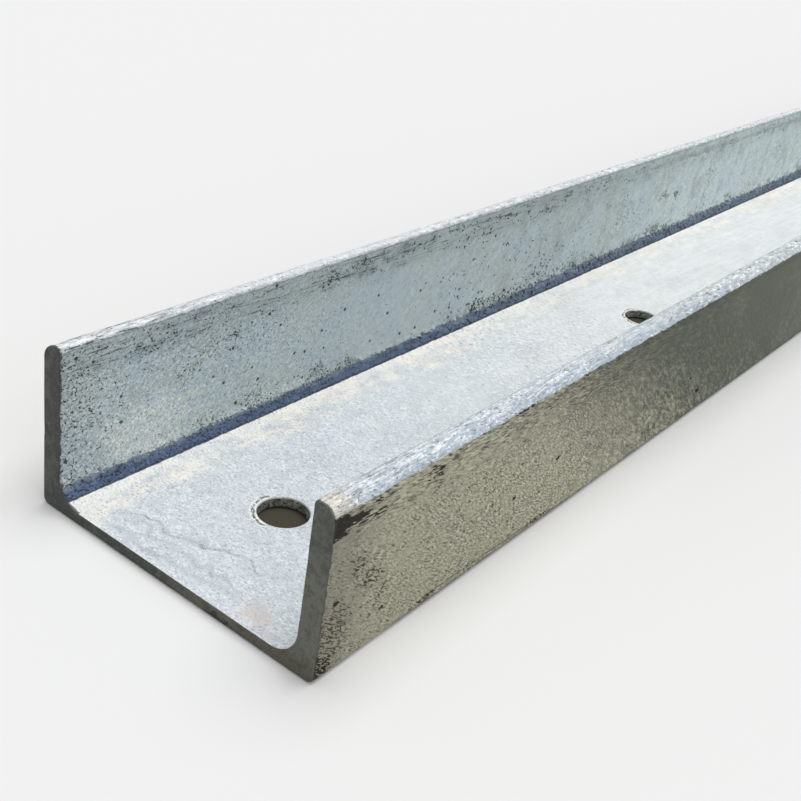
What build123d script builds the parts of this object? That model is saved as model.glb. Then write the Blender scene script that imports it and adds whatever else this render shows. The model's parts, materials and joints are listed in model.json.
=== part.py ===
from build123d import *

import math
import os

# Parallel flange channel in hot rolled steel, dipped in zinc after it was cut and drilled.
# One rolled bar, so one solid. It lies on the back of its web, with its flanges up.
# The origin is at the middle of the underside, Y runs along the bar and Z is up.
# All sizes are in millimetres.

# Length of the bar
bar_length = 1800.0

# Section
web_width = 150.0
flange_height = 75.0
web_thickness = 5.5
flange_thickness = 10.0

# Rolled corners of the section
root_radius = 12.0
heel_radius = 3.0
toe_outer_radius = 7.0
toe_inner_radius = 2.0
least_toe_flat = 0.5

# Row of bolt holes on the centre line of the web
hole_diameter = 22.0
hole_count = 6
end_to_first_hole = 65.0
hole_pitch = (bar_length - 2 * end_to_first_hole) / (hole_count - 1)

# Edges at both cut ends, left round by the zinc
cut_edge_radius = 0.6

# Edge around each hole on both faces of the web, where the burr was taken off
hole_edge_bevel = 0.6

# Two places closer than this are the same place
same_place = 0.001


def is_same(first, second):
    """Tells whether two distances are the same."""
    return math.isclose(first, second, abs_tol=same_place)


def round_pair(outline, from_middle, height, radius):
    """Rounds the two corners at one height, one each side of the middle."""
    pair = [
        corner
        for corner in outline.vertices()
        if is_same(abs(corner.X), from_middle) and is_same(corner.Y, height)
    ]
    return fillet(pair, radius)


def channel_outline():
    """The section of the bar, standing on the back of its web."""
    outside = web_width / 2
    inside = outside - flange_thickness
    # A thin flange keeps a flat between the two round corners of its toe
    toe_room = flange_thickness - toe_inner_radius - least_toe_flat
    corners = [
        (-outside, 0),
        (outside, 0),
        (outside, flange_height),
        (inside, flange_height),
        (inside, web_thickness),
        (-inside, web_thickness),
        (-inside, flange_height),
        (-outside, flange_height),
    ]
    outline = make_face(Polyline(corners, close=True))
    outline = round_pair(outline, outside, 0, heel_radius)
    outline = round_pair(outline, inside, web_thickness, root_radius)
    outline = round_pair(outline, outside, flange_height, min(toe_outer_radius, toe_room))
    outline = round_pair(outline, inside, flange_height, toe_inner_radius)
    return outline


def rolled_bar():
    """The plain bar, with the edges of its two cut ends rounded."""
    bar = extrude(Plane.XZ * channel_outline(), bar_length / 2, both=True)
    ends = bar.faces().filter_by(Axis.Y)
    end_edges = [edge for end in ends for edge in end.edges()]
    return fillet(end_edges, cut_edge_radius)


def drill_web(bar):
    """The bar with its row of bolt holes, evenly spaced between the two end holes."""
    drill = Cylinder(hole_diameter / 2, flange_height)
    for place in GridLocations(hole_pitch, hole_pitch, 1, hole_count):
        bar -= place * drill
    rims = [
        edge
        for edge in bar.edges().filter_by(GeomType.CIRCLE)
        if is_same(edge.arc_center.X, 0)
    ]
    return chamfer(rims, hole_edge_bevel)


channel = drill_web(rolled_bar())
channel.label = "channel"

os.makedirs("parts", exist_ok=True)
export_step(channel, "parts/channel.step")
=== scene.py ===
import json
import logging
import math
from collections.abc import Callable, Iterator
from contextlib import contextmanager
from dataclasses import dataclass, field
from enum import Enum

import bmesh
import bpy
from mathutils import Matrix, Vector


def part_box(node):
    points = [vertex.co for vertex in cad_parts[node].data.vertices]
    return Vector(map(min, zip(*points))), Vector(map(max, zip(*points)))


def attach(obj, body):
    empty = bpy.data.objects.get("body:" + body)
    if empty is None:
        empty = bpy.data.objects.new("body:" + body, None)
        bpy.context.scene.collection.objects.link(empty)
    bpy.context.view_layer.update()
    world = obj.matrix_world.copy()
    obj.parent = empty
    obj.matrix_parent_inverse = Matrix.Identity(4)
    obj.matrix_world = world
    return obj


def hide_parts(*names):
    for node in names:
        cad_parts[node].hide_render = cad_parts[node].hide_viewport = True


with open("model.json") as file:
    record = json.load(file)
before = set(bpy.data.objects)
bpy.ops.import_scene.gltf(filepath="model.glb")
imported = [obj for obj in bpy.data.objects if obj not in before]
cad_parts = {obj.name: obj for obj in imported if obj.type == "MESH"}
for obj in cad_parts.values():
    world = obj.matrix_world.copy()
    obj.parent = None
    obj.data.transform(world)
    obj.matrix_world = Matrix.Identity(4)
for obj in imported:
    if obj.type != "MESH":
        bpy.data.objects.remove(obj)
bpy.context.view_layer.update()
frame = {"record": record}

# A hot-dip galvanised steel channel. X runs across the web, Y along the bar with the seen end at -Y, and Z up
# from the back of the web. Lengths are in metres, as in the frame. In the finishes, places and sizes are in
# millimetres, along counts from the seen end, and the other numbers are strengths.

log = logging.getLogger("steel_channel")

MM = 0.001
# Two places closer than this are the same place
TINY = 0.02 * MM
# A face looks along an axis where its normal has more than this along it
FACING = 0.9

Socket = bpy.types.NodeSocket
Edge = bmesh.types.BMEdge
Face = bmesh.types.BMFace
Colour = tuple[float, float, float]
Sizes = tuple[float, float, float]
Direction = tuple[float, float, float]


class Turn(Enum):
    """The three axes, by their letter."""

    ACROSS = "X"
    ALONG = "Y"
    UP = "Z"


class Part(Enum):
    """What is selected in edit mode."""

    EDGE = "EDGE"
    FACE = "FACE"


class Zone(Enum):
    """The parts of the bar's surface that have a finish of their own."""

    WEB = "web_zinc"
    LEFT_ROOT = "left_root_zinc"
    INSIDE = "inside_zinc"
    OUTSIDE = "outside_zinc"
    TOE = "toe_zinc"
    SAWN = "sawn_end"
    HOLE = "hole_wall"
    BACK = "back_zinc"


def linear(red: int, green: int, blue: int) -> Colour:
    """A display colour as the linear values that a shader takes.

    Args:
        red: Red level, 0 to 255.
        green: Green level, 0 to 255.
        blue: Blue level, 0 to 255.

    Returns:
        The three linear values, 0 to 1.
    """
    levels = (red / 255, green / 255, blue / 255)
    return tuple(v / 12.92 if v <= 0.04045 else ((v + 0.055) / 1.055) ** 2.4 for v in levels)


@dataclass(frozen=True)
class Field:
    """A number that varies over a surface."""

    sheet: "Sheet"
    socket: Socket

    def __add__(self, other: "Number") -> "Field":
        """Adds a number."""
        return self.sheet.math("ADD", self, other)

    def __sub__(self, other: "Number") -> "Field":
        """Takes a number away."""
        return self.sheet.math("SUBTRACT", self, other)

    def __mul__(self, other: "Number") -> "Field":
        """Multiplies by a number."""
        return self.sheet.math("MULTIPLY", self, other)

    def __truediv__(self, other: "Number") -> "Field":
        """Divides by a number."""
        return self.sheet.math("DIVIDE", self, other)

    def size(self) -> "Field":
        """The number without its sign."""
        return self.sheet.math("ABSOLUTE", self)

    def most(self, other: "Number") -> "Field":
        """The larger of two."""
        return self.sheet.math("MAXIMUM", self, other)

    def step(self, start: float, end: float) -> "Field":
        """Goes smoothly from 0 at one value to 1 at another.

        Args:
            start: Where the result is 0.
            end: Where the result is 1, above or below the start.

        Returns:
            The result, 0 to 1.
        """
        inputs = {"Value": self, "From Min": start, "From Max": end}
        node = self.sheet.add("ShaderNodeMapRange", inputs, interpolation_type="SMOOTHSTEP")
        return Field(self.sheet, node.outputs["Result"])

    def within(self, low: float, high: float, soft: float) -> "Field":
        """1 between two values and 0 outside them, with soft borders."""
        return self.step(low - soft, low + soft) * self.step(high + soft, high - soft)

    def near(self, centre: float, reach: float) -> "Field":
        """1 at a value, falling to 0 at a distance from it."""
        return (self - centre).size().step(reach, 0.0)


@dataclass(frozen=True)
class Tint:
    """A colour that varies over a surface."""

    sheet: "Sheet"
    socket: Socket

    def cover(self, colour: "Tint | Colour", share: "Number") -> "Tint":
        """Lays another colour over this one by a share."""
        return self.sheet.mix_tints(share, self, colour)

    def scale(self, factor: "Number") -> "Tint":
        """Makes the colour lighter or darker by a factor."""
        node = self.sheet.add("ShaderNodeVectorMath", {0: self, "Scale": factor}, operation="SCALE")
        return Tint(self.sheet, node.outputs[0])


Number = Field | float
Inputs = dict[int | str, Field | Tint | Socket | Colour | float]


@dataclass(frozen=True)
class Coat:
    """How a finish looks from point to point. Relief is in millimetres."""

    tint: Tint
    rough: Number
    relief: Number

    def under(self, other: "Coat", share: Field) -> "Coat":
        """Lays another coat over this one.

        Args:
            other: The coat on top.
            share: How much of the top coat shows, 0 to 1.

        Returns:
            The two coats as one.
        """
        mix = share.sheet.mix_numbers
        rough = mix(share, self.rough, other.rough)
        return Coat(self.tint.cover(other.tint, share), rough, mix(share, self.relief, other.relief))


@dataclass(frozen=True)
class Mark:
    """One mark on a flange, in millimetres from the seen end and from the back, and its strength."""

    along: float
    up: float
    reach_along: float
    reach_up: float
    share: float


class NodeSheet:
    """The nodes of a material or of the surroundings."""

    def __init__(self, tree: bpy.types.NodeTree) -> None:
        """Takes the tree that the nodes go into."""
        self.tree = tree

    def add(self, kind: str, inputs: Inputs | None = None, **settings: str) -> bpy.types.Node:
        """Adds a node.

        Args:
            kind: The node's type.
            inputs: What its sockets get, by their names or numbers.
            settings: Its other settings.

        Returns:
            The node.
        """
        node = self.tree.nodes.new(kind)
        for name, value in settings.items():
            setattr(node, name, value)
        self.fill(node, inputs or {})
        return node

    def fill(self, node: bpy.types.Node, inputs: Inputs) -> None:
        """Links a node's sockets, or sets their values.

        Args:
            node: The node.
            inputs: What its sockets get, by their names or numbers.
        """
        for key, value in inputs.items():
            socket = node.inputs[key]
            if isinstance(value, (Field, Tint)):
                value = value.socket
            if isinstance(value, Socket):
                self.tree.links.new(value, socket)
            elif socket.type == "RGBA":
                socket.default_value = (*value, 1)
            else:
                socket.default_value = value


class Sheet(NodeSheet):
    """One material's node sheet, with fields in millimetres on the bar."""

    def __init__(self, name: str, length: float) -> None:
        """Starts a material.

        Args:
            name: The material's name.
            length: The bar's length in metres.
        """
        self.material = bpy.data.materials.new(name)
        self.material.use_nodes = True
        super().__init__(self.material.node_tree)
        self.shader = self.tree.nodes["Principled BSDF"]
        metres = self.add("ShaderNodeTexCoord").outputs["Object"]
        scaled = self.add("ShaderNodeVectorMath", {0: metres, "Scale": 1 / MM}, operation="SCALE")
        self.place = scaled.outputs[0]
        parts = self.add("ShaderNodeSeparateXYZ", {0: self.place}).outputs
        self.across, middle, self.up = (Field(self, part) for part in parts)
        self.half = length / 2 / MM
        self.along = middle + self.half
        self.from_end = self.math("SUBTRACT", self.half, middle.size())

    def math(self, kind: str, first: Number, second: Number = 0.0) -> Field:
        """One step of arithmetic."""
        node = self.add("ShaderNodeMath", {0: first, 1: second}, operation=kind)
        return Field(self, node.outputs[0])

    def distance(self, first: Field, second: Field) -> Field:
        """The distance from where two fields are 0."""
        return self.math("SQRT", first * first + second * second)

    def mix_numbers(self, share: Number, first: Number, second: Number) -> Field:
        """Goes from one number to another by a share."""
        node = self.add("ShaderNodeMix", {0: share, 2: first, 3: second}, data_type="FLOAT")
        return Field(self, node.outputs[0])

    def mix_tints(self, share: Number, first: Tint | Colour, second: Tint | Colour) -> Tint:
        """Goes from one colour to another by a share."""
        node = self.add("ShaderNodeMix", {0: share, 6: first, 7: second}, data_type="RGBA")
        return Tint(self, node.outputs[2])

    def stretched(self, sizes: Sizes, seed: float, place: Socket | None = None) -> Socket:
        """The place on the bar, counted in lengths of a pattern.

        Args:
            sizes: The pattern's length in millimetres along each axis.
            seed: Moves the pattern to another part of itself.
            place: The place in millimetres, if it isn't the bar's own.

        Returns:
            The vector for a texture node.
        """
        shift = (seed, seed * 1.7, seed * 2.3)
        inputs = {0: place or self.place, 1: [1 / size for size in sizes], 2: shift}
        return self.add("ShaderNodeVectorMath", inputs, operation="MULTIPLY_ADD").outputs[0]

    def texture(self, vector: Socket, detail: float, rough: float, distortion: float = 0.0) -> Field:
        """A cloudy pattern round 0.5.

        Args:
            vector: The place, counted in lengths of the pattern.
            detail: How many finer layers it has.
            rough: How strong the finer layers are.
            distortion: How far it is twisted.

        Returns:
            The pattern.
        """
        inputs = {"Vector": vector, "Scale": 1.0, "Detail": detail, "Roughness": rough}
        node = self.add("ShaderNodeTexNoise", {**inputs, "Distortion": distortion})
        return Field(self, node.outputs[0])

    def noise(self, sizes: Sizes, seed: float, detail: float = 2.0, rough: float = 0.5) -> Field:
        """A cloudy pattern round 0, mostly between -0.5 and 0.5.

        Args:
            sizes: Size of its clouds in millimetres along each axis.
            seed: Moves the pattern to another part of itself.
            detail: How many finer layers it has.
            rough: How strong the finer layers are.

        Returns:
            The pattern.
        """
        return (self.texture(self.stretched(sizes, seed), detail, rough) - 0.5) * 2.0

    def grain(self, sizes: Sizes, seed: float, slant: float = 0.0) -> Field:
        """A crisp fine pattern round 0, mostly between -0.7 and 0.7, coarser further along the bar.

        Args:
            sizes: Size of its grains in millimetres along each axis at the seen end.
            seed: Moves the pattern to another part of itself.
            slant: How far it is turned in the plane of a flange, in degrees.

        Returns:
            The pattern.
        """
        place = self.place
        if slant:
            inputs = {"Vector": place, "Angle": math.radians(slant)}
            place = self.add("ShaderNodeVectorRotate", inputs, rotation_type="X_AXIS").outputs[0]
        layers = []
        for times in (1.0, 2.1):
            grown = tuple(size * times for size in sizes)
            layers.append(self.texture(self.stretched(grown, seed * times, place), 1.0, 0.8, 0.4))
        return (self.mix_numbers(self.along.step(130, 300), *layers) - 0.5) * 4.5

    def specks(self, sizes: Sizes, seed: float, share: Number, radius: float) -> Field:
        """Separate round specks.

        Args:
            sizes: Size in millimetres of the cells that hold one speck each.
            seed: Moves the pattern to another part of itself.
            share: Share of the cells that have their speck.
            radius: A speck's radius as a share of its cell.

        Returns:
            1 in a speck and 0 between them.
        """
        inputs = {"Vector": self.stretched(sizes, seed), "Scale": 1.0}
        cells = self.add("ShaderNodeTexVoronoi", inputs, feature="F1").outputs
        chance = self.add("ShaderNodeSeparateXYZ", {0: cells["Color"]}).outputs[0]
        chosen = self.math("GREATER_THAN", share, Field(self, chance))
        return Field(self, cells["Distance"]).step(radius, radius * 0.5) * chosen

    def spot(
        self,
        first: tuple[Field, float, float],
        second: tuple[Field, float, float],
        ragged: Field,
        full: float = 0.7,
    ) -> Field:
        """One soft-edged oval patch.

        Args:
            first: A field, the patch's middle on it and its reach.
            second: The same along the other direction.
            ragged: Moves the patch's border in and out.
            full: How far out the patch is at its full strength, as a share of its reach.

        Returns:
            1 in the patch and 0 outside it.
        """
        reaches = [(values - middle) / reach for values, middle, reach in (first, second)]
        return (self.distance(*reaches) + ragged).step(1.15, full)

    def marks(self, marks: tuple[Mark, ...], ragged: Field) -> Field:
        """Several soft-edged oval marks on a flange.

        Args:
            marks: The marks.
            ragged: Moves their borders in and out.

        Returns:
            Each mark's strength inside it and 0 outside them all.
        """
        total: Number = 0.0
        for mark in marks:
            reach = (0, 1 / mark.reach_along, 1 / mark.reach_up)
            shift = (0, (self.half - mark.along) / mark.reach_along, -mark.up / mark.reach_up)
            inputs = {0: self.place, 1: reach, 2: shift}
            place = self.add("ShaderNodeVectorMath", inputs, operation="MULTIPLY_ADD").outputs[0]
            size = self.add("ShaderNodeVectorMath", {0: place}, operation="LENGTH").outputs["Value"]
            inside = (Field(self, size) + ragged).step(1.25, 0.6)
            total = (inside * mark.share).most(total)
        return total

    def dress(self, coat: Coat, metal: float) -> bpy.types.Material:
        """Gives the material's shader a coat.

        Args:
            coat: The coat.
            metal: How metallic it is, 0 to 1.

        Returns:
            The finished material.
        """
        bump = self.add("ShaderNodeBump", {"Distance": MM, "Height": coat.relief}).outputs[0]
        self.fill(self.shader, {"Base Color": coat.tint, "Roughness": coat.rough, "Normal": bump})
        self.fill(self.shader, {"Metallic": metal, "Specular IOR Level": 0.3})
        return self.material


@dataclass(frozen=True)
class WebZinc:
    """Frosted white zinc on the upper side of the web, with worn rims round the holes."""

    first_hole: float
    pitch: float
    near_colour: Colour = linear(213, 219, 225)
    far_colour: Colour = linear(230, 233, 233)
    dull_colour: Colour = linear(192, 198, 204)
    line_colour: Colour = linear(122, 128, 134)
    white: Colour = linear(243, 245, 244)
    cream: Colour = linear(248, 240, 227)
    rust: Colour = linear(222, 190, 172)
    worn: Colour = linear(249, 249, 244)
    nick: Colour = linear(96, 102, 100)

    def coat(self, sheet: Sheet) -> Coat:
        """Makes the coat on a material's sheet."""
        across, along = sheet.across, sheet.along
        clouds = sheet.noise((30, 42, 30), 3.1, 3.0)
        mottle = sheet.noise((7, 10, 7), 8.4, 3.0)
        frost = sheet.grain((1.3, 0.9, 1.0), 5.7)
        tint = sheet.mix_tints(along.step(0, 520), self.near_colour, self.far_colour)
        tint = tint.cover(self.dull_colour, (clouds + mottle * 0.7).step(-0.05, 0.65) * 0.48)
        patches = sheet.noise((8, 26, 8), 2.4, 4.0, 0.65)
        # Painted light: toward the left root the web is painted whiter and creamier in ragged blotches, to
        # offset the shade that the left flange throws there.
        root_light_blotches = across * -1.0 + patches * 20.0 + mottle * 10.0 + along.step(40, 0) * 8.0
        tint = tint.cover(self.white, root_light_blotches.step(45, 58) * 0.75)
        left = (across * -1.0 + clouds * 16.0 + mottle * 8.0).step(36, 56)
        warm = (patches + mottle * 0.5 + frost * 0.2).step(-0.5, 0.65) * left
        tint = tint.cover(self.cream, warm * 0.8)
        drawn = sheet.noise((3.5, 44, 3.5), 3.7, 3.0, 0.65)
        tint = tint.scale(frost * (along.step(440, 220) * 0.13 + 0.03) + mottle * 0.1 + 1.0)
        tint = tint.scale(drawn * along.step(180, 420) * 0.16 + 1.0)
        # Painted glints: white frost sparkle, fading further along the bar.
        sparkle = (frost + mottle * 0.5 + clouds * 0.2).step(0.15, 0.75) * along.step(700, 300)
        tint = tint.cover(self.white, sparkle * 0.6)
        # The dark frost dashes are partly the zinc's own dark grain and partly painted micro-shadow of its
        # frost.
        hairs = (frost - 0.2).size().step(0.22, 0.02) * (mottle * -1.0 + clouds * 0.5).step(-0.1, 0.4)
        fades = along.step(460, 220) * 0.24 + 0.08
        tint = tint.cover(self.line_colour, frost.step(-0.4, -0.9).most(hairs * 0.6) * fades)
        tint = self.wavy_lines(sheet, tint, mottle, frost)
        stain = sheet.spot((across, 39, 12), (along, 8, 8), mottle * 1.2, 0.0)
        tint = tint.cover(self.rust, stain * (frost * 0.5 + mottle + 0.4).step(-0.5, 0.9) * 0.56)
        tint = self.hole_rims(sheet, tint, mottle, frost)
        rough = frost * 0.1 + 0.74
        relief = frost * 0.04 + mottle * 0.08 + clouds * 0.1
        return Coat(tint, rough, relief)

    def wavy_lines(self, sheet: Sheet, tint: Tint, mottle: Field, frost: Field) -> Tint:
        """Adds the faint dark lines that cross the web near the seen end."""
        across, along = sheet.across, sheet.along
        wander = sheet.noise((19, 30, 30), 6.3, 2.0)
        lines: Number = 0.0
        for place, sway, slope, strength in ((27, 22, -0.16, 1.0), (13, 16, 0.1, 0.8), (7, 9, -0.05, 0.7)):
            away = along - place + wander * sway + across * slope + mottle * 3.0 + frost * 2.0
            lines = (away.near(0.0, 2.2) * strength).most(lines)
        broken = (mottle + frost * 0.9).step(-0.25, 0.5)
        reach = across.within(-42, 26, 9)
        return tint.cover(self.line_colour, lines * reach * broken * 0.8)

    def hole_rims(self, sheet: Sheet, tint: Tint, mottle: Field, frost: Field) -> Tint:
        """Adds the bright ragged ring that wear and zinc leave round each hole."""
        turns = (sheet.along - (self.first_hole - self.pitch / 2)) / self.pitch
        step_along = (sheet.math("FRACT", turns) - 0.5) * self.pitch
        radius = sheet.distance(sheet.across, step_along)
        side = (sheet.across * -0.8 - step_along * 0.6).step(2.0, 10.0)
        edge = radius + mottle * 2.6 + frost * 0.5
        ring = (edge - side * 1.8).step(13.2, 12.0) * (mottle + frost * 0.6 + side * 0.4).step(-0.35, 0.25)
        nicks = (edge - side * 0.9).within(11.6, 12.8, 0.3) * (frost + side * 0.3).step(-0.15, 0.2)
        return tint.cover(self.worn, ring * 0.85).cover(self.nick, nicks * (side * 0.6 + 0.4))


@dataclass(frozen=True)
class InsideZinc:
    """Dull blue-grey zinc on the inner faces of the flanges, with pits and smudges."""

    near_colour: Colour = linear(190, 200, 200)
    far_colour: Colour = linear(217, 228, 228)
    cold: Colour = linear(182, 196, 206)
    shade_colour: Colour = linear(176, 187, 186)
    pit_colour: Colour = linear(50, 57, 59)
    streak_colour: Colour = linear(104, 114, 128)
    smudge_colour: Colour = linear(138, 147, 144)
    pale: Colour = linear(220, 226, 220)
    smudges: tuple[Mark, ...] = (
        Mark(80, 53, 32, 9, 0.42), Mark(68, 44, 8, 5, 0.6), Mark(94, 53, 6, 3, 0.7),
        Mark(84, 12, 9, 4, 0.7), Mark(112, 15, 11, 6, 0.6), Mark(158, 16, 5, 4, 0.8),
        Mark(183, 13, 4, 3, 0.9), Mark(161, 65, 7, 4, 0.75), Mark(186, 68, 6, 5, 0.8),
        Mark(250, 69, 40, 2.5, 0.5), Mark(228, 66, 14, 1.5, 0.6), Mark(272, 70, 12, 1.5, 0.7),
        Mark(296, 12, 4, 3, 1.3), Mark(322, 13, 26, 4, 0.75), Mark(372, 17, 14, 10, 0.55),
        Mark(476, 37, 10, 14, 0.55), Mark(500, 27, 9, 13, 0.42), Mark(542, 40, 6, 3, 0.85),
        Mark(563, 36.5, 4, 3, 1.1), Mark(537, 15, 10, 4, 1.1), Mark(556, 13.5, 5, 2.5, 1.4),
        Mark(622, 41, 9, 12, 0.55), Mark(672, 17, 5, 3, 0.85), Mark(717, 20, 15, 8, 0.55),
        Mark(760, 44, 15, 6, 0.55),
    )

    def coat(self, sheet: Sheet) -> Coat:
        """Makes the coat on a material's sheet."""
        along, up = sheet.along, sheet.up
        clouds = sheet.noise((40, 46, 26), 1.3, 3.0)
        mottle = sheet.noise((6, 9, 6), 4.9, 4.0, 0.65)
        grain = sheet.grain((0.9, 1.3, 0.9), 7.7, 25.0)
        tint = sheet.mix_tints(along.step(360, 640), self.near_colour, self.far_colour)
        tint = tint.cover(self.cold, (clouds + mottle * 0.5).step(-0.25, 0.4) * 0.6)
        shade = (up + mottle * 12.0).step(50, 62) * (along.step(700, 350) * 0.4 + 0.15)
        tint = tint.cover(self.shade_colour, shade * (along.step(30, 90) * 0.4 + 0.6))
        tint = tint.cover(self.pale, sheet.spot((along, 48, 26), (up, 26, 13), mottle + clouds) * 0.6)
        tint = self.streaks(sheet, tint, mottle, grain)
        crowd = self.crowd(sheet, clouds, mottle, grain)
        strip = (up + mottle * 1.5).near(66.0, 2.8) * along.step(420, 560)
        tint = tint.cover(self.smudge_colour, strip * (clouds + mottle).step(-0.7, 0.1) * 0.5)
        drape = (sheet.noise((22, 18, 24), 6.1, 4.0, 0.7) + mottle * 0.5).step(-0.05, 0.4)
        tint = tint.cover(self.smudge_colour, drape * along.step(220, 380) * 0.4)
        soft = along.step(60, 200) * 0.25 + along.step(300, 450) * 0.35 + 0.3
        tint = tint.cover(self.smudge_colour, (crowd + mottle * 0.7 + clouds * 0.3).step(0.25, 1.1) * soft)
        tint = tint.scale(clouds * along.step(260, 440) * 0.26 + 1.0)
        tint = tint.scale(grain * (crowd * 0.1 + along.step(260, 60) * 0.16 + 0.12) + mottle * 0.16 + 1.0)
        slanted = sheet.grain((0.9, 3.0, 0.9), 3.3, -38.0)
        tint = tint.scale(slanted * (along.step(300, 100) * 0.12 + 0.1) + 1.0)
        pits = self.pits(sheet, clouds, mottle, crowd * (along.step(540, 380) * 0.45 + 0.55))
        tint = tint.cover(self.pit_colour, pits * (along.step(520, 330) * 0.4 + 0.55))
        rough = grain * 0.08 + 0.52
        relief = grain * 0.03 + mottle * 0.07 - pits * 0.1
        return Coat(tint, rough, relief)

    def streaks(self, sheet: Sheet, tint: Tint, mottle: Field, grain: Field) -> Tint:
        """Adds the lengthwise streaks below the toe."""
        lines = sheet.noise((16, 26, 1.6), 9.2, 4.0, 0.75)
        scratches = sheet.noise((20, 46, 2.4), 5.4, 1.0)
        band = sheet.up.within(60, 71, 3) * (sheet.along.step(480, 340) * 0.5 + 0.5)
        fade = sheet.noise((90, 70, 90), 2.8, 1.0) + sheet.from_end.step(260, 60) * 0.7
        dark = (lines + mottle * 0.3 + grain * 0.4).step(-0.05, 0.35) * band * fade.step(-0.35, 0.3)
        thin = (scratches + grain * 0.06).size().step(0.07, 0.02) * band * (mottle + lines).step(-0.2, 0.2)
        under_toe = sheet.up.near(72.6, 0.9)
        tint = tint.cover(self.streak_colour, dark * 0.35 + under_toe * 0.5)
        return tint.cover(self.pit_colour, thin * 0.85)

    def crowd(self, sheet: Sheet, clouds: Field, mottle: Field, grain: Field) -> Field:
        """How close together the dark pits are: most at the cut end, above the root and below the toe."""
        at_end = (sheet.from_end + mottle * 16.0).step(70, -10) * 0.66
        at_root = sheet.up.step(22, 12) * (clouds + mottle).step(-0.4, 0.5) * 0.75
        at_toe = sheet.up.within(58, 74, 5) * (clouds + mottle * 0.8).step(-0.5, 0.4)
        at_toe = at_toe * (sheet.along.step(420, 300) * 0.2 + 0.4)
        worn = sheet.marks(self.smudges, mottle * 2.6 + grain * 0.7)
        return at_end.most(at_root).most(at_toe).most(worn)

    def pits(self, sheet: Sheet, clouds: Field, mottle: Field, crowd: Field) -> Field:
        """The dark pits themselves, fine and ragged with a few large round ones."""
        grain = sheet.grain((1.05, 1.4, 1.05), 13.7, 20.0)
        hairs = (grain - 0.1).size().step(0.16, 0.03) * (crowd + mottle * 0.5).step(0.4, 0.8) * 0.6
        sparse = (mottle * 0.6 + clouds * 0.5).step(-0.3, 0.5) * sheet.along.step(600, 260) * 0.36
        thin = sheet.along.step(140, 60) * 0.07
        fine = (crowd.most(sparse) * 0.8 - grain * 0.85 + mottle * 0.2 - thin).step(0.78, 0.88).most(hairs)
        share = crowd * 0.3 + sheet.along.within(90, 340, 40) * 0.16 + 0.2
        large = sheet.specks((10, 11, 10), 8.8, share, 0.12)
        small = sheet.specks((5, 6, 5), 6.6, (mottle + clouds).step(-0.1, 0.8) * 0.8, 0.15)
        return fine.most(large).most(small * 0.8)


@dataclass(frozen=True)
class RootShade:
    """The dark blue band in the left root of the section: painted shadow and painted reflection of a dark
    sky.
    """

    near_colour: Colour = linear(74, 90, 117)
    far_colour: Colour = linear(84, 97, 116)
    top_colour: Colour = linear(112, 124, 136)
    edge_colour: Colour = linear(40, 50, 64)
    speck_colour: Colour = linear(34, 40, 48)

    def coat(self, sheet: Sheet) -> Coat:
        """Makes the coat on a material's sheet."""
        mottle = sheet.noise((5, 12, 2.5), 2.9, 3.0, 0.6)
        grain = sheet.grain((1.0, 1.4, 1.0), 1.1)
        tint = sheet.mix_tints(sheet.along.step(30, 420), self.near_colour, self.far_colour)
        tint = tint.cover(self.top_colour, (sheet.up + mottle * 3.0).step(9.0, 12.0) * 0.8)
        tint = tint.cover(self.edge_colour, (sheet.up + grain * 0.3).step(8.2, 7.4) * 0.8)
        tint = tint.scale(mottle * 0.6 + grain * 0.5 + 1.05)
        tint = tint.cover(self.speck_colour, (grain + mottle * 0.4).step(-0.35, -0.65) * 0.85)
        return Coat(tint, 0.55, grain * 0.03 + mottle * 0.05)


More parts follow.
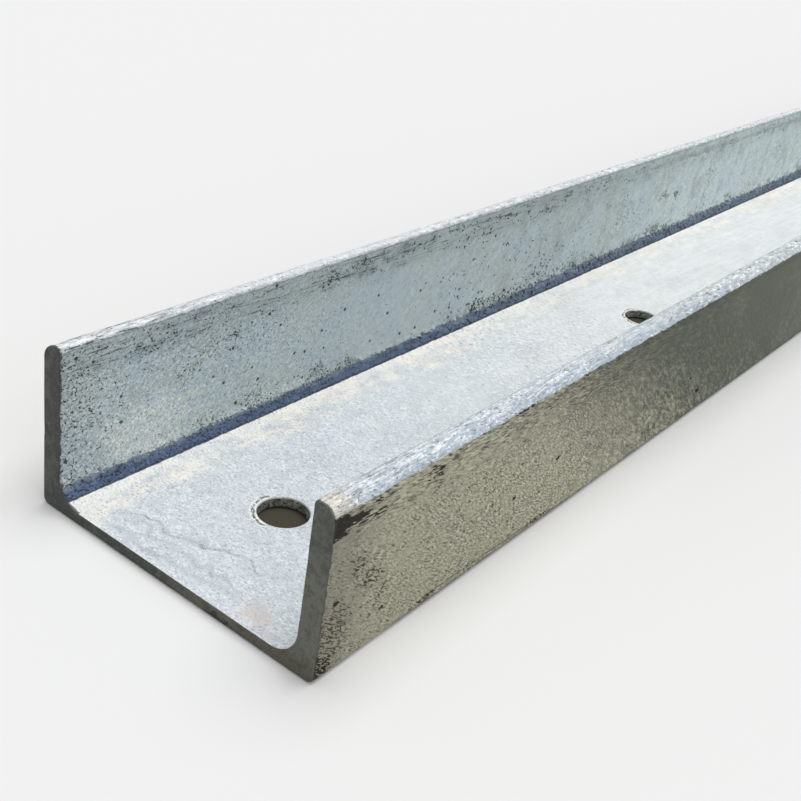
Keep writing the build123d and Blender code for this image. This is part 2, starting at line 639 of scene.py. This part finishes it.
@dataclass(frozen=True)
class OutsideZinc:
    """Olive zinc on the outer faces of the flanges; its olive tint is painted reflection of the ground, and
    its darkening further along the bar is painted shade.
    """

    near_colour: Colour = linear(163, 161, 140)
    far_colour: Colour = linear(71, 76, 62)
    end_colour: Colour = linear(140, 138, 122)
    speck_colour: Colour = linear(42, 41, 34)
    pale: Colour = linear(202, 203, 186)
    haze: Colour = linear(108, 115, 101)
    grime_colour: Colour = linear(20, 17, 12)
    stains: tuple[Mark, ...] = (
        Mark(0, 67, 10, 6, 1.3), Mark(11, 66.5, 9, 2.2, 1.0), Mark(22, 63.5, 11, 1.8, 0.75),
        Mark(25, 69, 9, 1.6, 0.6), Mark(57, 66, 7, 4, 0.75), Mark(60, 61, 3, 5, 0.6),
        Mark(18, 44, 5, 6, 0.54), Mark(26, 35, 8, 6, 0.56), Mark(33, 25, 4, 9, 0.5),
        Mark(8, 20, 9, 15, 0.54), Mark(0, 6, 11, 9, 0.85), Mark(66, 4.4, 8, 1.6, 0.75),
        Mark(150, 4, 12, 1.6, 0.7), Mark(118, 71, 10, 0.9, 1.0), Mark(87, 71, 6, 0.7, 0.8),
        Mark(168, 71, 4, 0.9, 0.9), Mark(157, 33, 2.4, 1.0, 1.3), Mark(124, 26, 1.4, 0.9, 1.2),
        Mark(7, 33, 1.8, 1.0, 1.2), Mark(36, 16, 1.6, 1.0, 1.1), Mark(313, 14, 3, 2.2, 0.8),
        Mark(298, 27, 3, 1.8, 0.62),
    )

    def coat(self, sheet: Sheet) -> Coat:
        """Makes the coat on a material's sheet."""
        along, up = sheet.along, sheet.up
        clouds = sheet.noise((40, 50, 30), 7.4, 3.0)
        mottle = sheet.noise((5, 8, 5), 3.6, 3.0, 0.6)
        slanted = sheet.grain((0.9, 2.8, 0.8), 9.9, 34.0)
        level = sheet.grain((0.9, 4.2, 0.8), 6.2, 8.0)
        grain = sheet.mix_numbers((up + mottle * 10.0).step(52, 62), slanted, level)
        # Painted shade: the face goes from the near olive to the dark far colour further along the bar,
        # sooner higher up.
        front = along + up * 2.0 + clouds * 30.0
        tint = sheet.mix_tints(front.step(195, 390), self.near_colour, self.far_colour)
        tint = tint.cover(self.end_colour, (along + clouds * 20.0 + mottle * 10.0).step(32, 4))
        cloudy = clouds + mottle * 0.6 - up * 0.008 + 0.28
        tint = tint.cover(self.haze, cloudy.step(-0.1, 0.4) * front.step(280, 400) * 0.4)
        lively = front.step(520, 280) * 0.6 + 0.4
        tint = tint.scale(clouds * 0.08 + mottle * 0.14 * lively + 1.0)
        fading = front.step(250, 360) * front.step(580, 420) * 0.6
        tint = tint.scale(grain * lively * (along.step(30, 200) * 0.36 + fading + 0.2) + 1.0)
        # The pale glints are painted highlights of the fine relief; the dark strokes are partly the zinc's
        # own marks and partly painted shade of that relief.
        glints = (grain + mottle * 0.4).step(0.5, 0.9) * front.within(140, 290, 60)
        tint = tint.cover(self.pale, glints * 0.3)
        hairs = (grain + 0.15).size().step(0.22, 0.05) * (mottle + clouds * 0.4).step(-0.3, 0.2)
        dense = up.step(50, 62) * 0.05
        strokes = (grain * -1.0 + mottle * 0.6 + clouds * 0.3 + dense).step(0.6, 0.75).most(hairs * 0.7)
        specks = sheet.specks((5, 7, 5), 3.3, (mottle + clouds).step(-0.2, 0.8) * 0.4, 0.13)
        tint = tint.cover(self.speck_colour, specks.most(strokes * 0.8) * lively)
        stains = sheet.marks(self.stains, mottle * 0.7)
        thick = stains.step(0.4, 0.8) * 0.4 + 0.6
        grime = (stains * 1.15 - grain * 0.75 + mottle * 0.5).step(0.6, 0.9)
        grime = grime * stains.step(0.05, 0.3) * thick
        lower_edge = (up + mottle * 1.5).step(3.4, 1.8) * along.step(30, 60) * 0.7
        ridge = (up + along * 0.022 + mottle * 0.9 - 7.0).near(0.0, 0.55) * along.within(68, 165, 5) * 0.8
        dirt = grime.most(lower_edge).most(ridge).most(stains * 0.25)
        tint = tint.cover(self.grime_colour, dirt * 0.92)
        tint = tint.scale(grain * 0.12 + 1.0)
        rough = grain * 0.1 + dirt * 0.4 + 0.5
        relief = (grain * 0.1 + mottle * 0.1) * lively - specks * 0.1
        return Coat(tint, rough, relief)


@dataclass(frozen=True)
class ToeZinc:
    """Bright zinc on the toes of the flanges, scuffed and nicked."""

    bright: Colour = linear(222, 227, 231)
    right_bright: Colour = linear(209, 216, 221)
    white: Colour = linear(250, 252, 253)
    blue: Colour = linear(184, 196, 208)
    far_right: Colour = linear(200, 209, 209)
    cream: Colour = linear(224, 210, 194)
    nick: Colour = linear(92, 98, 106)

    def coat(self, sheet: Sheet) -> Coat:
        """Makes the coat on a material's sheet."""
        along, across, up = sheet.along, sheet.across, sheet.up
        mottle = sheet.noise((4, 9, 4), 6.6, 3.0, 0.6)
        scuffs = sheet.noise((1.2, 12, 1.2), 1.9, 3.0, 0.7)
        grain = sheet.grain((0.8, 2.2, 0.8), 4.2, 8.0)
        right = across.step(-10, 10)
        near = along.step(110, 20)
        tint = sheet.mix_tints(right, self.bright, self.right_bright)
        tint = tint.cover(self.far_right, right * (along + mottle * 20.0).step(110, 260) * 0.7)
        # Painted shade: the lower part of the right toe's outer round, which turns away from the light, is
        # painted bluer and darker.
        low = right * (up + mottle * 2.0 + scuffs * 6.0).step(74.4, 73.4) * along.step(460, 260)
        tint = tint.cover(self.blue, low * (along.step(4, 20) * 0.68 + 0.12))
        tint = tint.cover(self.cream, right * (along + mottle * 8.0).step(18, 4) * 0.6)
        tint = tint.scale(scuffs * (near * 0.4 + 0.35) + grain * 0.3 + right * 0.03 + 0.91)
        # The white flecks are partly scuffs and partly painted glints.
        tint = tint.cover(self.white, (grain * 0.8 + scuffs).step(0.4, 0.8) * 0.8)
        nicks = (mottle * 0.5 - grain - scuffs * 0.4).step(0.75, 1.0)
        streaky = near * (right * -1.4 + 1.6)
        lines = (scuffs * -1.0 + grain * 0.3).step(0.08, 0.35) * (mottle.step(-0.2, 0.4) * 0.4 + streaky)
        inner_edge = right * (across + mottle * 0.6).within(65.2, 66.4, 0.3)
        inner_edge = inner_edge * (scuffs + mottle).step(-0.4, 0.2)
        scratches = sheet.noise((3, 24, 3), 7.2, 2.0)
        scratch = (scratches + grain * 0.05).size().step(0.05, 0.01)
        scratch = scratch * (mottle + scuffs).step(0.0, 0.3) * right
        dark = nicks.most(lines * 0.7).most(inner_edge * 0.5).most(scratch)
        tint = tint.cover(self.nick, dark * (right * 0.15 + streaky * 0.35 + 0.45))
        return Coat(tint, grain * 0.12 + 0.6, grain * 0.04 + mottle * 0.12 - dark * 0.08)


@dataclass(frozen=True)
class SawnEnd:
    """The dull cut ends, dark partly from their sawn zinc and partly from painted shade."""

    colour: Colour = linear(71, 75, 72)
    brown: Colour = linear(86, 78, 62)
    right_colour: Colour = linear(106, 108, 99)
    top_colour: Colour = linear(87, 91, 84)
    pale: Colour = linear(102, 105, 98)
    dark: Colour = linear(42, 44, 40)

    def coat(self, sheet: Sheet) -> Coat:
        """Makes the coat on a material's sheet."""
        across, up = sheet.across, sheet.up
        clouds = sheet.noise((13, 13, 13), 2.7, 3.0)
        mottle = sheet.noise((4, 4, 4), 6.9, 3.0, 0.7)
        grain = sheet.grain((1.2, 1.2, 1.2), 8.1)
        tint = sheet.mix_tints((across + clouds * 12.0).step(-6, 52), self.colour, self.right_colour)
        tint = tint.cover(self.right_colour, across.within(4, 60, 20) * up.step(12, 4) * 0.7)
        tint = tint.cover(self.top_colour, across.step(40, 64) * up.step(40, 66))
        tint = tint.cover(self.brown, (up + mottle * 6.0).step(14, 2) * across.step(-40, 50) * 0.5)
        tint = tint.scale(clouds * 0.35 + mottle * 0.3 + grain * 0.26 + 1.0)
        tint = tint.cover(self.pale, (mottle * -1.0 + clouds * 0.4 + grain * 0.25).step(0.0, 0.35) * 0.4)
        tint = tint.cover(self.dark, (mottle + clouds * 0.5 + grain * 0.25).step(0.0, 0.35) * 0.55)
        notch = sheet.spot((across, 27, 7), (up, 0.0, 2.4), mottle * 1.5)
        tint = tint.cover(self.dark, notch * 0.9)
        return Coat(tint, 0.6, grain * 0.05 + mottle * 0.08)


@dataclass(frozen=True)
class HoleWall:
    """The mottled wall of a drilled hole."""

    dark: Colour = linear(118, 122, 112)
    light: Colour = linear(178, 182, 172)
    speck: Colour = linear(48, 50, 46)

    def coat(self, sheet: Sheet) -> Coat:
        """Makes the coat on a material's sheet."""
        mottle = sheet.noise((2.6, 2.6, 2.6), 3.8, 3.0, 0.6)
        grain = sheet.grain((1.8, 1.8, 1.8), 7.1)
        tint = sheet.mix_tints((mottle + sheet.up * 0.04).step(-0.1, 0.45), self.dark, self.light)
        tint = tint.scale(grain * 0.3 + 1.0).cover(self.speck, grain.step(-0.3, -0.6) * 0.7)
        return Coat(tint, 0.6, mottle * 0.12 + grain * 0.05)


@dataclass(frozen=True)
class BackZinc:
    """Plain dull zinc on the back of the web."""

    colour: Colour = linear(176, 183, 184)
    dull: Colour = linear(146, 152, 152)
    speck_colour: Colour = linear(70, 74, 74)

    def coat(self, sheet: Sheet) -> Coat:
        """Makes the coat on a material's sheet."""
        clouds = sheet.noise((36, 60, 36), 4.6, 4.0)
        mottle = sheet.noise((6, 9, 6), 9.4, 3.0, 0.6)
        grain = sheet.grain((2.2, 2.8, 2.2), 1.6)
        tint = sheet.mix_tints((clouds + mottle * 0.4).step(-0.4, 0.5), self.colour, self.dull)
        tint = tint.scale(grain * 0.14 + mottle * 0.1 + 1.0)
        tint = tint.cover(self.speck_colour, sheet.specks((4, 6, 4), 2.1, 0.1, 0.25) * 0.6)
        return Coat(tint, grain * 0.1 + 0.52, grain * 0.05 + mottle * 0.08)


@dataclass
class Finishes:
    """All the materials of the bar."""

    length: float
    first_hole: float
    pitch: float
    metal: float = 0.25
    rim_colour: Colour = linear(58, 60, 58)

    def make(self, zone: Zone) -> bpy.types.Material:
        """Makes the material of one zone.

        Args:
            zone: The zone of the bar's surface.

        Returns:
            Its material.
        """
        makers = {
            Zone.WEB: self.web,
            Zone.LEFT_ROOT: self.left_root,
            Zone.INSIDE: InsideZinc().coat,
            Zone.OUTSIDE: OutsideZinc().coat,
            Zone.TOE: self.toe,
            Zone.SAWN: SawnEnd().coat,
            Zone.HOLE: HoleWall().coat,
            Zone.BACK: BackZinc().coat,
        }
        sheet = Sheet(zone.value, self.length)
        coat = makers[zone](sheet)
        if zone in (Zone.INSIDE, Zone.LEFT_ROOT, Zone.OUTSIDE, Zone.TOE):
            ragged = sheet.noise((2.5, 2.5, 2.5), 7.9, 3.0, 0.7)
            rim = (sheet.from_end + ragged * 2.0).step(1.4, 0.8)
            coat = Coat(coat.tint.cover(self.rim_colour, rim * 0.85), coat.rough, coat.relief)
        return sheet.dress(coat, self.metal)

    def web(self, sheet: Sheet) -> Coat:
        """The web's upper side."""
        return WebZinc(self.first_hole, self.pitch).coat(sheet)

    def left_root(self, sheet: Sheet) -> Coat:
        """The left root: web, then the dark band of painted shadow and reflection, then the flange."""
        ragged = sheet.noise((2, 5, 2), 5.2, 3.0, 0.7)
        speckled = sheet.grain((0.9, 1.4, 0.9), 2.6)
        lower = sheet.up + ragged * 0.35
        coat = self.web(sheet).under(RootShade().coat(sheet), lower.step(7.0, 7.25))
        rise = sheet.along.step(60, 0) * 0.8 + sheet.along.step(250, 450) * 0.9
        border = sheet.up + ragged * 1.8 + speckled * 0.9 - rise
        return coat.under(InsideZinc().coat(sheet), border.step(11.2, 12.2))

    def toe(self, sheet: Sheet) -> Coat:
        """The toes: bright on top, with each side's own zinc below."""
        ragged = sheet.noise((2, 6, 2), 3.9, 3.0, 0.65)
        crisp = sheet.grain((0.9, 2.0, 0.9), 8.3)
        inner = sheet.across.size().step(66.2, 65.6)
        coat = OutsideZinc().coat(sheet).under(InsideZinc().coat(sheet), inner)
        # On the outer side this border stands where the round turns out of the light, so the change from the
        # bright top to the darker olive side is painted shade.
        border = sheet.up + inner * -1.8 + ragged * 0.9 + crisp * 0.3
        return coat.under(ToeZinc().coat(sheet), border.step(70.7, 71.3))


class Workpiece:
    """A mesh object that is shaped in edit mode."""

    def __init__(self, name: str) -> None:
        """Takes the primitive that was just added, names it and makes its place its mesh's own."""
        self.obj = bpy.context.object
        self.obj.name = name
        self.obj.data.name = name
        self.by = Part.FACE
        bpy.ops.object.transform_apply(location=True, rotation=True, scale=True)

    def choose(self) -> None:
        """Selects this object alone."""
        bpy.ops.object.select_all(action="DESELECT")
        self.obj.select_set(True)
        bpy.context.view_layer.objects.active = self.obj

    @contextmanager
    def editing(self, by: Part) -> Iterator[None]:
        """Opens edit mode on this object alone.

        Args:
            by: What is selected in it.
        """
        self.choose()
        self.by = by
        bpy.ops.object.mode_set(mode="EDIT")
        bpy.ops.mesh.select_mode(type=by.value)
        yield
        bpy.ops.object.mode_set(mode="OBJECT")

    def pick(self, wanted: Callable[[Edge | Face], bool]) -> None:
        """Selects the edges or faces that pass a test, and only those.

        Args:
            wanted: Tells whether an edge or a face is wanted.
        """
        mesh = bmesh.from_edit_mesh(self.obj.data)
        parts = mesh.edges if self.by is Part.EDGE else mesh.faces
        picked = [part for part in parts if wanted(part)]
        for part in parts:
            part.select_set(False)
        for part in picked:
            part.select_set(True)
        bmesh.update_edit_mesh(self.obj.data)

    def cut(self, axis: Turn, at: float) -> None:
        """Cuts all faces with a plane square to an axis, in edit mode.

        Args:
            axis: The axis that the plane is square to.
            at: Where the plane crosses that axis.
        """
        unit = Vector([axis is Turn.ACROSS, axis is Turn.ALONG, axis is Turn.UP])
        bpy.ops.mesh.select_all(action="SELECT")
        bpy.ops.mesh.bisect(plane_co=unit * at, plane_no=unit)

    def pull(self, way: float) -> None:
        """Extrudes the selected faces up, or down where the way is negative, in edit mode."""
        bpy.ops.mesh.extrude_region_move(TRANSFORM_OT_translate={"value": (0, 0, way)})

    def bevel(self, radius: float, steps: int) -> None:
        """Rounds the selected edges, in edit mode."""
        bpy.ops.mesh.bevel(offset=radius, segments=steps, profile=0.5, affect="EDGES")

    def apply(self, modifier: bpy.types.Modifier) -> None:
        """Applies one of the object's modifiers."""
        self.choose()
        bpy.ops.object.modifier_apply(modifier=modifier.name)

    def settle(self, name: str, grain: float, depth: float, contrast: float = 1.0, group: str = "") -> None:
        """Sinks the surface unevenly, and never raises it.

        Args:
            name: Name of the pattern.
            grain: Size of the pattern's clouds.
            depth: How deep the deepest places go, before a tenth of it more all over.
            contrast: How sharply the deep places stand apart.
            group: The vertices that it works on, or all of them.
        """
        clouds = bpy.data.textures.new(name, "CLOUDS")
        clouds.noise_scale = grain
        clouds.noise_depth = 2
        clouds.contrast = contrast
        clouds.use_clamp = True
        sink = self.obj.modifiers.new(name, "DISPLACE")
        sink.texture = clouds
        sink.texture_coords = "LOCAL"
        sink.mid_level = -0.1
        sink.strength = -depth
        sink.vertex_group = group
        self.apply(sink)


@dataclass
class RolledChannel:
    """The bar: a rolled channel section, sawn square and drilled along its web."""

    length: float
    width: float
    height: float
    web: float
    holes: list[tuple[float, float]]
    flange: float = 10 * MM
    root_radius: float = 12 * MM
    heel_radius: float = 3 * MM
    toe_outer_radius: float = 7 * MM
    toe_inner_radius: float = 2 * MM
    cut_edge_radius: float = 0.6 * MM
    cut_edge_steps: int = 4
    hole_edge_bevel: float = 0.6 * MM
    hole_sides: int = 72
    grid: float = 4.4 * MM
    near_part: float = 320 * MM
    near_rings: int = 520
    far_rings: int = 400
    # In radii of the cut edge, from the cut end: what is sawn, and where the wear starts and stops
    sawn_to: float = 0.45
    wear_from: float = 0.3
    wear_to: float = 3.0
    # How far down a hole's wall the wear goes, below the bevel
    rim_wear: float = 0.3 * MM
    smooth_angle: float = math.radians(35)
    piece: Workpiece | None = field(default=None, init=False)

    def build(self) -> bpy.types.Object:
        """Makes the bar's mesh.

        Returns:
            The finished object, at the origin.
        """
        self.rough_section()
        self.round_section()
        self.round_cut_ends()
        self.cut_across()
        self.divide_length()
        self.drill_web()
        self.dress()
        self.weather()
        self.smooth()
        return self.piece.obj

    @property
    def inside(self) -> float:
        """Distance from the middle to the inner face of a flange."""
        return self.width / 2 - self.flange

    @property
    def web_flat(self) -> float:
        """Distance from the middle to where the root starts to rise."""
        return self.inside - self.root_radius

    def rough_section(self) -> None:
        """Starts from the web as a plate and draws both flanges up out of it."""
        bpy.ops.object.select_all(action="DESELECT")
        size = (self.width, self.length, self.web)
        bpy.ops.mesh.primitive_cube_add(size=1, location=(0, 0, self.web / 2), scale=size)
        self.piece = Workpiece("channel_bar")

        def on_flange(face: Face) -> bool:
            """Tells whether a face is the upper side of the plate under a flange."""
            return face.normal.z > FACING and abs(face.calc_center_median().x) > self.inside

        with self.piece.editing(Part.FACE):
            for side in (-1, 1):
                self.piece.cut(Turn.ACROSS, side * self.inside)
            self.piece.pick(on_flange)
            self.piece.pull(self.height - self.web)
            self.piece.pick(lambda face: abs(face.normal.y) > FACING)
            bpy.ops.mesh.dissolve_faces()

    def round_section(self) -> None:
        """Rounds the heels, roots and toes along the whole length."""
        corners = (
            (self.width / 2, 0.0, self.heel_radius, 6),
            (self.inside, self.web, self.root_radius, 12),
            (self.width / 2, self.height, self.toe_outer_radius, 14),
            (self.inside, self.height, self.toe_inner_radius, 6),
        )
        with self.piece.editing(Part.EDGE):
            for out, up, radius, steps in corners:
                self.piece.pick(lambda edge: self.runs_along(edge) and self.is_at(edge, out, up))
                self.piece.bevel(radius, steps)

    def runs_along(self, edge: Edge) -> bool:
        """Tells whether an edge runs along the bar."""
        first, second = (corner.co for corner in edge.verts)
        return abs(first.x - second.x) < TINY and abs(first.z - second.z) < TINY

    def is_at(self, edge: Edge, out: float, up: float) -> bool:
        """Tells whether an edge lies at one place of the section, on either side."""
        point = edge.verts[0].co
        return abs(abs(point.x) - out) < TINY and abs(point.z - up) < TINY

    def round_cut_ends(self) -> None:
        """Rounds the edges of both cut ends."""
        end = self.length / 2

        def on_rim(edge: Edge) -> bool:
            """Tells whether an edge is on the outline of a cut end."""
            return not self.runs_along(edge) and abs(abs(edge.verts[0].co.y) - end) < TINY

        with self.piece.editing(Part.EDGE):
            self.piece.pick(on_rim)
            self.piece.bevel(self.cut_edge_radius, self.cut_edge_steps)

    def cut_across(self) -> None:
        """Divides the flats of the web and the flanges into strips."""
        low = self.web + self.root_radius
        high = self.height - self.toe_outer_radius
        web_strips = round(2 * self.web_flat / self.grid)
        flange_strips = round((high - low) / self.grid)
        with self.piece.editing(Part.FACE):
            for step in range(web_strips + 1):
                self.piece.cut(Turn.ACROSS, self.web_flat * (2 * step / web_strips - 1))
            for step in range(flange_strips + 1):
                self.piece.cut(Turn.UP, low + (high - low) * step / flange_strips)

    def divide_length(self) -> None:
        """Divides the bar into rings, close together at the seen end."""
        border = -self.length / 2 + self.near_part

        def is_long(edge: Edge, side: int) -> bool:
            """Tells whether an edge runs along a good part of the bar, on one side of the border."""
            middle = sum(corner.co.y for corner in edge.verts) / 2
            is_there = (middle - border) * side > 0
            return is_there and self.runs_along(edge) and edge.calc_length() > self.near_part / 2

        with self.piece.editing(Part.EDGE):
            self.piece.cut(Turn.ALONG, border)
            for side, rings in ((-1, self.near_rings), (1, self.far_rings)):
                self.piece.pick(lambda edge: is_long(edge, side))
                bpy.ops.mesh.subdivide(number_cuts=rings)

    def drill_web(self) -> None:
        """Drills the row of holes, each with a small bevel on both faces of the web."""
        cutters = [self.hole_cutter(place, radius) for place, radius in self.holes]
        bpy.ops.object.select_all(action="DESELECT")
        for cutter in cutters:
            cutter.select_set(True)
        bpy.context.view_layer.objects.active = cutters[0]
        bpy.ops.object.join()
        bore = self.piece.obj.modifiers.new("holes", "BOOLEAN")
        bore.object = cutters[0]
        bore.operation = "DIFFERENCE"
        bore.solver = "EXACT"
        self.piece.apply(bore)
        bpy.data.objects.remove(cutters[0], do_unlink=True)

    def hole_cutter(self, place: float, radius: float) -> bpy.types.Object:
        """The shape that one hole takes out of the web.

        Args:
            place: Where the hole is along the bar.
            radius: Radius of its wall.

        Returns:
            A cylinder that flares at both faces of the web.
        """
        middle = (0, place, self.web / 2)
        depth = self.web - 2 * self.hole_edge_bevel
        bpy.ops.object.select_all(action="DESELECT")
        bpy.ops.mesh.primitive_cylinder_add(
            vertices=self.hole_sides, radius=radius, depth=depth, location=middle
        )
        cutter = Workpiece("hole_cutter")
        # The flare goes on past the web's faces, so that no face of the cutter lies in one of them
        step = 2 * self.hole_edge_bevel
        flare = (radius + step) / radius
        with cutter.editing(Part.FACE):
            for way in (-1, 1):
                cutter.pick(lambda face: face.normal.z * way > FACING)
                cutter.pull(way * step)
                bpy.ops.transform.resize(value=(flare, flare, 1), center_override=middle)
        return cutter.obj

    def weather(self) -> None:
        """Gives the zinc its uneven skin, and wears the toes, the cut edges and the rims of the holes."""
        self.piece.settle("uneven_skin", 24 * MM, 0.2 * MM)
        corners = self.piece.obj.data.vertices
        worn = self.piece.obj.vertex_groups.new(name="worn")
        worn.add([corner.index for corner in corners if self.is_worn(corner.co)], 1.0, "REPLACE")
        self.piece.settle("worn_edges", 6 * MM, 0.22 * MM, 2.0, worn.name)
        self.piece.settle("fine_wear", 1.8 * MM, 0.08 * MM, 2.0, worn.name)

    def is_worn(self, point: Vector) -> bool:
        """Tells whether a point is worn.

        Args:
            point: A point of the surface.

        Returns:
            Whether it is on a toe, on the round edge of a cut end or on the upper rim of a hole.
        """
        from_end = self.length / 2 - abs(point.y)
        if self.wear_from * self.cut_edge_radius < from_end < self.wear_to * self.cut_edge_radius:
            return True
        if point.z > self.height - self.toe_outer_radius:
            return from_end > self.cut_edge_radius
        reach = self.hole_edge_bevel + TINY
        return point.z > self.web - self.hole_edge_bevel - self.rim_wear and any(
            math.hypot(point.x, point.y - place) < radius + reach for place, radius in self.holes
        )

    def smooth(self) -> None:
        """Shades the rounds smooth and keeps the flats flat."""
        self.piece.choose()
        bpy.ops.object.shade_smooth_by_angle(angle=self.smooth_angle)
        flats = self.piece.obj.modifiers.new("flats", "WEIGHTED_NORMAL")
        flats.keep_sharp = True
        self.piece.apply(flats)

    def dress(self) -> None:
        """Gives every zone of the surface its material."""
        first, second = sorted(place for place, _ in self.holes)[:2]
        finishes = Finishes(self.length, (first + self.length / 2) / MM, (second - first) / MM)
        zones = list(Zone)
        for zone in zones:
            self.piece.obj.data.materials.append(finishes.make(zone))
        for face in self.piece.obj.data.polygons:
            face.material_index = zones.index(self.zone_of(face.center, face.normal))

    def zone_of(self, middle: Vector, normal: Vector) -> Zone:
        """The zone that a face of the bar belongs to.

        Args:
            middle: The face's middle.
            normal: The face's outward normal.

        Returns:
            The zone.
        """
        out = abs(middle.x)
        if self.length / 2 - abs(middle.y) < self.cut_edge_radius * self.sawn_to:
            return Zone.SAWN
        if middle.z > self.height - self.toe_outer_radius - self.grid:
            return Zone.TOE
        if out < self.web_flat / 2 and abs(normal.z) < 0.5 and middle.z < self.web:
            return Zone.HOLE
        if out < self.inside + TINY and middle.z > self.web / 2:
            if middle.z > self.web + self.root_radius:
                return Zone.INSIDE
            return Zone.LEFT_ROOT if middle.x < -self.web_flat else Zone.WEB
        return Zone.BACK if normal.z < -0.8 else Zone.OUTSIDE


@dataclass
class Viewpoint:
    """The camera, where the photograph was taken from."""

    seen_end: float
    right: float = 258.6 * MM
    before_end: float = 253.0 * MM
    above: float = 286.1 * MM
    heading: float = math.radians(33.378)
    downward: float = math.radians(28.198)
    roll: float = math.radians(9.488)
    lens_mm: float = 52.32
    film_mm: float = 36.0
    nearest: float = 0.01
    furthest: float = 100.0

    def build(self) -> None:
        """Adds the camera and makes it the scene's own."""
        sight = bpy.data.cameras.new("viewpoint")
        sight.lens = self.lens_mm
        sight.sensor_width = self.film_mm
        sight.clip_start = self.nearest
        sight.clip_end = self.furthest
        camera = bpy.data.objects.new("viewpoint", sight)
        bpy.context.scene.collection.objects.link(camera)
        place = Matrix.Translation((self.right, self.seen_end - self.before_end, self.above))
        turn = Matrix.Rotation(self.heading, 4, Turn.UP.value)
        tilt = Matrix.Rotation(math.pi / 2 - self.downward, 4, Turn.ACROSS.value)
        camera.matrix_world = place @ turn @ tilt @ Matrix.Rotation(self.roll, 4, Turn.UP.value)
        bpy.context.scene.camera = camera


@dataclass
class Studio:
    """Pale floor, pale surroundings and soft light from above."""

    bar_length: float
    pale: Colour = linear(242, 242, 242)
    dark: Colour = linear(80, 77, 68)
    floor_radius: float = 40.0
    floor_drop: float = 0.2 * MM
    floor_sides: int = 96
    sky_strength: float = 0.4
    spread: float = math.radians(50)
    key_strength: float = 1.69
    key_from: Direction = (0.08, 0.24, 1.0)
    fill_strength: float = 0.45
    fill_from: Direction = (0.75, -0.25, 0.55)

    def build(self) -> None:
        """Adds the floor, the lamps and the surroundings."""
        self.lay_floor()
        self.hang_lamp("key_lamp", self.key_from, self.key_strength)
        self.hang_lamp("fill_lamp", self.fill_from, self.fill_strength)
        self.surround()

    def lay_floor(self) -> None:
        """Lays a round pale floor under the bar."""
        place = (0, 0, -self.floor_drop)
        bpy.ops.object.select_all(action="DESELECT")
        bpy.ops.mesh.primitive_circle_add(
            vertices=self.floor_sides, radius=self.floor_radius, fill_type="NGON", location=place
        )
        floor = Workpiece("floor").obj
        floor.data.materials.append(self.floor_paint())

    def floor_paint(self) -> bpy.types.Material:
        """A pale matt floor with a painted shadow: dark where the bar covers it, as it is seen through the
        holes.

        Returns:
            The material.
        """
        sheet = Sheet("pale_floor", self.bar_length)
        # Painted shadow: the floor is dark under the bar, where only the holes show it.
        bar_shadow = sheet.across.size().step(40, 30) * sheet.from_end.step(20, 30)
        sheet.fill(sheet.shader, {"Base Color": sheet.mix_tints(bar_shadow, self.pale, self.dark)})
        sheet.fill(sheet.shader, {"Roughness": 1.0, "Specular IOR Level": 0.0})
        return sheet.material

    def hang_lamp(self, name: str, come_from: Direction, strength: float) -> None:
        """Adds one broad soft lamp.

        Args:
            name: The lamp's name.
            come_from: Direction from the bar to the lamp.
            strength: The lamp's strength.
        """
        lamp = bpy.data.lights.new(name, "SUN")
        lamp.energy = strength
        lamp.angle = self.spread
        obj = bpy.data.objects.new(name, lamp)
        obj.matrix_world = Vector(come_from).to_track_quat("Z", "Y").to_matrix().to_4x4()
        bpy.context.scene.collection.objects.link(obj)

    def surround(self) -> None:
        """Shows a pale background, and lights the bar evenly from all round."""
        world = bpy.data.worlds.new("surroundings")
        bpy.context.scene.world = world
        world.use_nodes = True
        nodes = NodeSheet(world.node_tree)
        nodes.tree.nodes.clear()
        rays = nodes.add("ShaderNodeLightPath").outputs
        either = {0: rays["Is Camera Ray"], 1: rays["Is Glossy Ray"]}
        seen = nodes.add("ShaderNodeMath", either, operation="MAXIMUM").outputs[0]
        light = nodes.add("ShaderNodeBackground", {"Color": (1, 1, 1), "Strength": self.sky_strength})
        shown = nodes.add("ShaderNodeBackground", {"Color": self.pale})
        mixed = nodes.add("ShaderNodeMixShader", {0: seen, 1: light.outputs[0], 2: shown.outputs[0]})
        nodes.add("ShaderNodeOutputWorld", {0: mixed.outputs[0]})


def hole_list(record: dict) -> list[tuple[float, float]]:
    """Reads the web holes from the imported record.

    Args:
        record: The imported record.

    Returns:
        Each hole's place along the bar and the radius of its wall.
    """
    bores = [mount for mount in record["mounts"] if mount["kind"] == "bore"]
    return [(mount["pos_m"][1], mount["dims"]["r_mm"] * MM) for mount in bores]


def web_thickness(record: dict) -> float:
    """Reads the web's thickness from the record's mount on its upper face."""
    return next(mount["pos_m"][2] for mount in record["mounts"] if mount["name"] == "web_floor")


def main() -> None:
    """Builds the bar, lights it and sets the camera."""
    logging.basicConfig(level=logging.INFO, format="%(message)s")
    lowest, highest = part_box("channel")
    width, length, height = (high - low for low, high in zip(lowest, highest))
    record = frame["record"]
    channel = RolledChannel(length, width, height, web_thickness(record), hole_list(record))
    bar = channel.build()
    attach(bar, "root")
    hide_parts("channel")
    log.info("channel_bar: %d faces", len(bar.data.polygons))
    Studio(length).build()
    Viewpoint(seen_end=lowest[1]).build()
    bpy.context.scene.view_settings.view_transform = "Standard"


if __name__ == "__main__":
    main()
